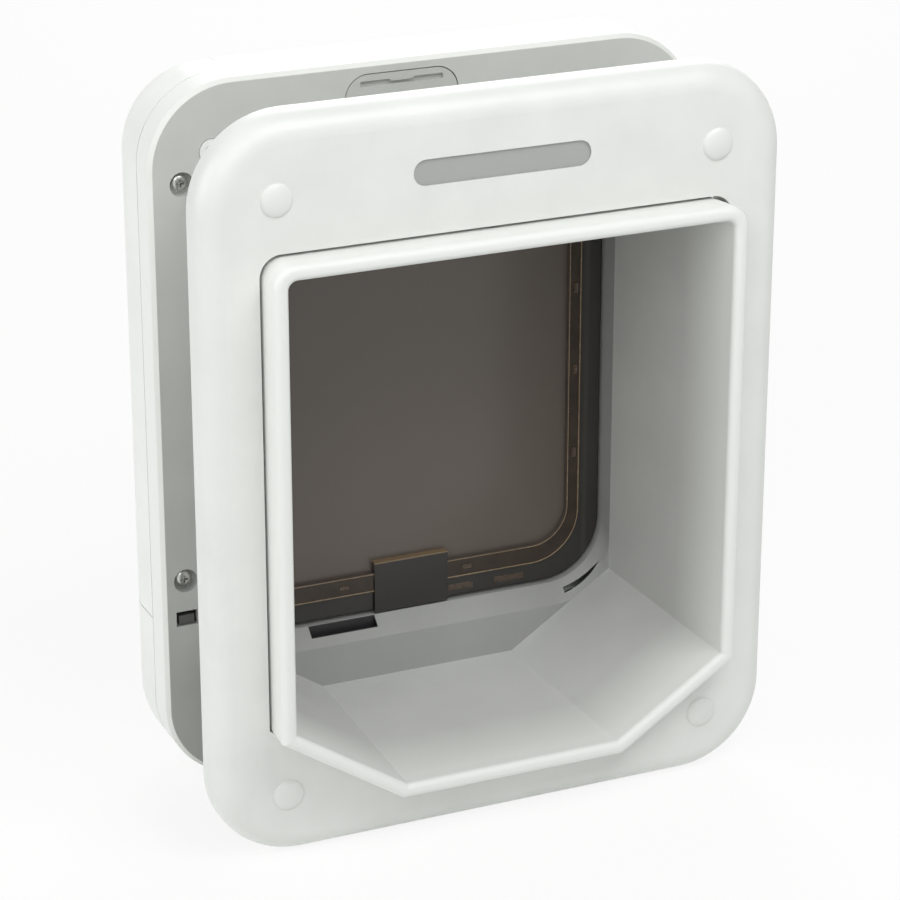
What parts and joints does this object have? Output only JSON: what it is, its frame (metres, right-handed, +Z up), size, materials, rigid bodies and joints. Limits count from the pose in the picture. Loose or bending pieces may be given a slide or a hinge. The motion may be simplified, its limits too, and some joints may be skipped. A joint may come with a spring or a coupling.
{
  "type": "cat flap",
  "caption": "Microchip cat flap for a door: outdoor frame, tapered tunnel and indoor housing with a smoked swinging flap, latch blades, lock dial and battery box.",
  "frame": {"origin": "under the middle of the overall box, at the height of the outdoor frame's foot", "axes": "+X to the right seen from outdoors, +Y from outdoors to indoors, +Z up"},
  "size_m": [0.225, 0.131, 0.28],
  "materials": {
    "frame_white": "satin",
    "base_grey": "fine matt",
    "inner_white": "satin",
    "cover_white": "satin",
    "flap_smoke": "polished, smoked brown",
    "seal_dark": "matt",
    "bright_steel": "bright zinc",
    "magnet_grey": "plated",
    "nylon": "plain",
    "dark_nylon": "plain",
    "dial_grey": "plain",
    "copper": "enamelled copper winding",
    "board_green": "solder mask",
    "lens_clear": "clear light guide",
    "cell_skin": "printed sleeve, left plain"
  },
  "bodies": {
    "housing": {"outer_frame": "frame_white", "tunnel_liner": "frame_white", "base_plate": "base_grey", "wiring_hatch": "base_grey", "flap_surround": "inner_white", "indoor_cover": "cover_white", "lower_cover": "cover_white", "screw_caps": "cover_white", "contact_springs": "bright_steel", "contact_plates": "bright_steel", "case_screws": "bright_steel", "fixing_screws": "bright_steel", "surround_screws": "bright_steel", "board_screws": "bright_steel", "carrier_screws": "bright_steel", "solenoid_yoke": "bright_steel", "sill_magnet": "magnet_grey", "hinge_bushes": "nylon", "latch_carrier": "nylon", "solenoid_coil": "copper", "antenna_coil": "copper", "control_board": "board_green", "learn_switch": "dark_nylon", "status_lens": "lens_clear", "battery_tray": "base_grey", "battery_cell_1": "cell_skin", "battery_cell_2": "cell_skin", "battery_cell_3": "cell_skin", "battery_cell_4": "cell_skin"},
    "flap": {"flap_panel": "flap_smoke", "flap_seal": "seal_dark", "flap_magnet": "magnet_grey", "hinge_pins": "bright_steel"},
    "battery_door": {"battery_lid": "cover_white"},
    "lock_knob": {"lock_dial": "dial_grey", "lock_pinion": "nylon"},
    "exit_bolt": {"exit_latch": "dark_nylon"},
    "entry_bolt": {"entry_latch": "dark_nylon", "latch_plunger": "bright_steel"},
    "button": {"learn_button": "cover_white"}
  },
  "joints": [
    {"name": "flap_hinge", "type": "hinge", "parent": "housing", "child": "flap", "pos_m": [0, 0.0365, 0.2175], "axis": [1, 0, 0], "range_deg": [-80, 80]},
    {"name": "battery_lid_hinge", "type": "hinge", "parent": "housing", "child": "battery_door", "pos_m": [0, 0.0369, 0.2766], "axis": [1, 0, 0], "range_deg": [0, 75]},
    {"name": "lock_dial_turn", "type": "hinge", "parent": "housing", "child": "lock_knob", "pos_m": [0, 0.045, 0.027], "axis": [0, 1, 0], "range_deg": [0, 90]},
    {"name": "exit_latch_slide", "type": "slide", "parent": "housing", "child": "exit_bolt", "axis": [0, 0, 1], "range_m": [0, 0.01]},
    {"name": "entry_latch_slide", "type": "slide", "parent": "housing", "child": "entry_bolt", "axis": [0, 0, 1], "range_m": [0, 0.01]},
    {"name": "learn_button_press", "type": "slide", "parent": "housing", "child": "button", "axis": [0, -1, 0], "range_m": [0, 0.0012], "stiffness_N_per_m": 400, "springref_m": -0.0005}
  ],
  "couplings": [
    {"joint": "exit_latch_slide", "follows": "lock_dial_turn", "m_per_rad": 0.0063662}
  ]
}
